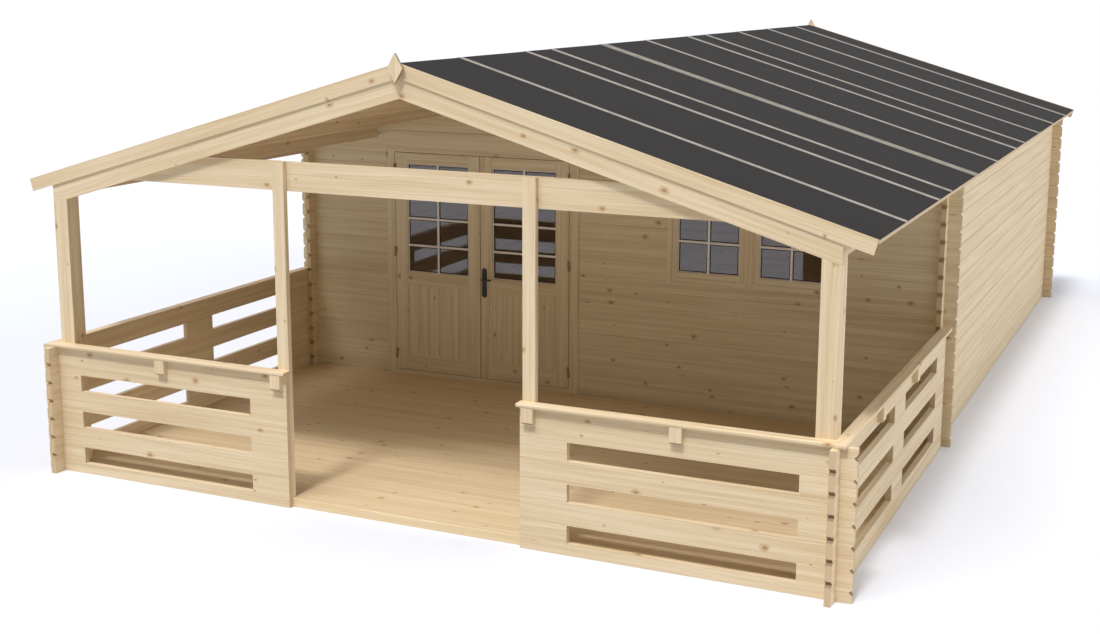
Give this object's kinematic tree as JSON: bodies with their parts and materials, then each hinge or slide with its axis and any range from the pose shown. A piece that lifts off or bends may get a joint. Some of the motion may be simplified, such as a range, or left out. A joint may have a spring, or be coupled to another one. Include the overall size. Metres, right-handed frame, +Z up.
{
  "type": "log garden house with veranda",
  "caption": "Low gabled log garden house with crossed corners, glazed double door, barred window, felt roof and a roofed veranda with log balustrades.",
  "frame": {"origin": "centre of the overall box on the ground", "axes": "+Z up, front with the veranda towards -Y, +X to the right seen from the front"},
  "size_m": [6.11, 9.9, 3.1028],
  "materials": {
    "log_wood": "planed, untreated",
    "beam_wood": "planed, untreated",
    "roof_boards": "planed, untreated",
    "roof_felt": "mineral felt",
    "floor_wood": "planed, untreated",
    "joinery_wood": "planed, untreated",
    "glass": "clear",
    "hinge_steel": "zinc plated",
    "handle_metal": "black"
  },
  "bodies": {
    "house": {"left_wall": "log_wood", "right_wall": "log_wood", "front_wall_left": "log_wood", "front_wall_right": "log_wood", "back_wall": "log_wood", "front_gable": "log_wood", "back_gable": "log_wood", "wall_plates": "log_wood", "front_balustrade_left": "log_wood", "front_balustrade_right": "log_wood", "side_balustrade_left": "log_wood", "side_balustrade_right": "log_wood", "ridge_purlin": "beam_wood", "purlins": "beam_wood", "front_rafter_left": "beam_wood", "front_rafter_right": "beam_wood", "tie_beam": "beam_wood", "corner_posts": "beam_wood", "entry_posts": "beam_wood", "front_barge_left": "beam_wood", "front_barge_right": "beam_wood", "back_barge_left": "beam_wood", "back_barge_right": "beam_wood", "finials": "beam_wood", "front_rail_left": "beam_wood", "front_rail_right": "beam_wood", "side_rail_left": "beam_wood", "side_rail_right": "beam_wood", "rail_brackets": "beam_wood", "roof_deck_left": "roof_boards", "roof_deck_right": "roof_boards", "roof_felt_left": "roof_felt", "roof_felt_right": "roof_felt", "veranda_floor": "floor_wood", "house_floor": "floor_wood", "floor_joists": "floor_wood", "door_jambs": "joinery_wood", "door_head": "joinery_wood", "door_threshold": "joinery_wood", "window_frame": "joinery_wood", "window_sashes": "joinery_wood", "window_glass": "glass", "frame_hinges": "hinge_steel"},
    "door_left": {"door_leaf_left": "joinery_wood", "door_glass_left": "glass", "leaf_hinges_left": "hinge_steel"},
    "door_right": {"door_leaf_right": "joinery_wood", "door_glass_right": "glass", "leaf_hinges_right": "hinge_steel", "door_handle": "handle_metal"}
  },
  "joints": [
    {"name": "door_left_hinge", "type": "hinge", "parent": "house", "child": "door_left", "pos_m": [-1.9675, -1.538, 1.08], "axis": [0, 0, -1], "range_deg": [0, 165]},
    {"name": "door_right_hinge", "type": "hinge", "parent": "house", "child": "door_right", "pos_m": [-0.2785, -1.538, 1.08], "axis": [0, 0, 1], "range_deg": [0, 165]}
  ]
}
